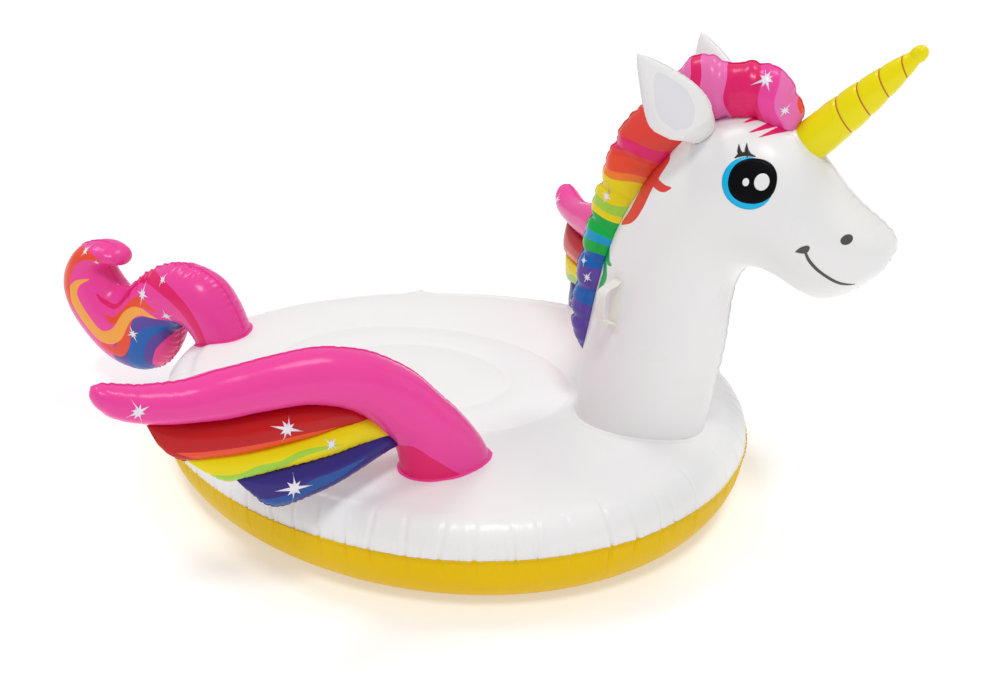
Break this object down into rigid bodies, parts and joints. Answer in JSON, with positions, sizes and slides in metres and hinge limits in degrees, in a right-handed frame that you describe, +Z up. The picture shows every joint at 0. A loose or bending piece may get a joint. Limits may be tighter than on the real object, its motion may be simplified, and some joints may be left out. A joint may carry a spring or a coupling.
{
  "type": "inflatable pool float",
  "caption": "Ride-on inflatable pool float: oval island base with a winged, horned horse neck and head, striped mane, curled tail, grab handles and air valves.",
  "frame": {"origin": "centre of the island base's outline on its flat underside, which is the plane z = 0", "axes": "+X runs forwards, from the tail to the head; +Y runs to the float's left; +Z is up"},
  "size_m": [2.9506, 2.6136, 1.4933],
  "materials": {
    "island_white": "printed soft vinyl sheet, semi-gloss",
    "island_yellow": "soft vinyl sheet, semi-gloss",
    "head_white": "printed soft vinyl sheet, semi-gloss",
    "ear_white": "printed soft vinyl sheet, semi-gloss",
    "collar_white": "soft vinyl sheet, semi-gloss",
    "horn_yellow": "printed soft vinyl sheet, semi-gloss",
    "mane_rainbow": "soft vinyl sheet printed in rainbow bands",
    "forelock_pink": "soft vinyl sheet printed in pink bands",
    "tail_pink": "soft vinyl sheet printed in pink, red and violet bands",
    "wing_pink": "soft vinyl sheet, semi-gloss",
    "feather_red": "soft vinyl sheet printed in red bands",
    "feather_yellow": "soft vinyl sheet printed in yellow and green bands",
    "feather_indigo": "soft vinyl sheet printed in indigo and blue bands",
    "handle_cream": "moulded soft vinyl, satin",
    "valve_clear": "moulded translucent soft vinyl"
  },
  "bodies": {
    "float_body": {"ear_left": "ear_white", "ear_right": "ear_white", "forelock": "forelock_pink", "handle_pad_left": "handle_cream", "handle_pad_right": "handle_cream", "handle_strap_left": "handle_cream", "handle_strap_right": "handle_cream", "head_panel_left": "head_white", "head_panel_right": "head_white", "horn": "horn_yellow", "horn_weld_collar": "collar_white", "island_bottom_sheet": "island_yellow", "island_top_sheet": "island_white", "main_valve_flange": "valve_clear", "mane": "mane_rainbow", "neck_base_flange": "head_white", "neck_valve_flange": "valve_clear", "perimeter_weld_flange": "island_yellow", "seat_baffle_inner": "island_white", "seat_baffle_outer": "island_white", "seat_top_panel": "island_white", "tail_base_flange": "tail_pink", "tail_panel_left": "tail_pink", "tail_panel_right": "tail_pink", "tail_valve_flange": "valve_clear", "wing_arm_left": "wing_pink", "wing_arm_right": "wing_pink", "wing_base_flange_left": "wing_pink", "wing_base_flange_right": "wing_pink", "wing_feather_indigo_left": "feather_indigo", "wing_feather_indigo_right": "feather_indigo", "wing_feather_red_left": "feather_red", "wing_feather_red_right": "feather_red", "wing_feather_yellow_left": "feather_yellow", "wing_feather_yellow_right": "feather_yellow", "wing_valve_left_flange": "valve_clear", "wing_valve_right_flange": "valve_clear"},
    "main_valve_stem_body": {"main_valve_stem": "valve_clear"},
    "main_valve_plug_body": {"main_valve_plug": "valve_clear"},
    "neck_valve_stem_body": {"neck_valve_stem": "valve_clear"},
    "neck_valve_plug_body": {"neck_valve_plug": "valve_clear"},
    "tail_valve_stem_body": {"tail_valve_stem": "valve_clear"},
    "tail_valve_plug_body": {"tail_valve_plug": "valve_clear"},
    "wing_valve_left_stem_body": {"wing_valve_left_stem": "valve_clear"},
    "wing_valve_left_plug_body": {"wing_valve_left_plug": "valve_clear"},
    "wing_valve_right_stem_body": {"wing_valve_right_stem": "valve_clear"},
    "wing_valve_right_plug_body": {"wing_valve_right_plug": "valve_clear"}
  },
  "joints": [
    {"name": "main_valve_stem_slide", "type": "slide", "parent": "float_body", "child": "main_valve_stem_body", "axis": [-0.2583, 0.626, 0.7358], "range_m": [0, 0.0264]},
    {"name": "main_valve_plug_hinge", "type": "hinge", "parent": "main_valve_stem_body", "child": "main_valve_plug_body", "pos_m": [-0.45158, 0.68956, 0.28462], "axis": [0.2807, -0.6802, 0.6772], "range_deg": [0, 150]},
    {"name": "neck_valve_stem_slide", "type": "slide", "parent": "float_body", "child": "neck_valve_stem_body", "axis": [0.161, 0.9868, -0.016], "range_m": [0, 0.012]},
    {"name": "neck_valve_plug_hinge", "type": "hinge", "parent": "neck_valve_stem_body", "child": "neck_valve_plug_body", "pos_m": [0.74055, 0.17284, 0.47988], "axis": [0.0026, 0.0158, 0.9999], "range_deg": [0, 150]},
    {"name": "tail_valve_stem_slide", "type": "slide", "parent": "float_body", "child": "tail_valve_stem_body", "axis": [0.2053, 0.9662, 0.1556], "range_m": [0, 0.012]},
    {"name": "tail_valve_plug_hinge", "type": "hinge", "parent": "tail_valve_stem_body", "child": "tail_valve_plug_body", "pos_m": [-0.90726, 0.10923, 0.42114], "axis": [-0.0323, -0.1522, 0.9878], "range_deg": [0, 150]},
    {"name": "wing_valve_left_stem_slide", "type": "slide", "parent": "float_body", "child": "wing_valve_left_stem_body", "axis": [-0.5352, -0.6228, 0.5706], "range_m": [0, 0.012]},
    {"name": "wing_valve_left_plug_hinge", "type": "hinge", "parent": "wing_valve_left_stem_body", "child": "wing_valve_left_plug_body", "pos_m": [0.42804, 0.43851, 0.50696], "axis": [0.3719, 0.4328, 0.8212], "range_deg": [0, 150]},
    {"name": "wing_valve_right_stem_slide", "type": "slide", "parent": "float_body", "child": "wing_valve_right_stem_body", "axis": [-0.7615, 0.6413, 0.0942], "range_m": [0, 0.012]},
    {"name": "wing_valve_right_plug_hinge", "type": "hinge", "parent": "wing_valve_right_stem_body", "child": "wing_valve_right_plug_body", "pos_m": [0.10967, -0.54913, 0.49255], "axis": [0.072, -0.0606, 0.9956], "range_deg": [0, 150]}
  ]
}
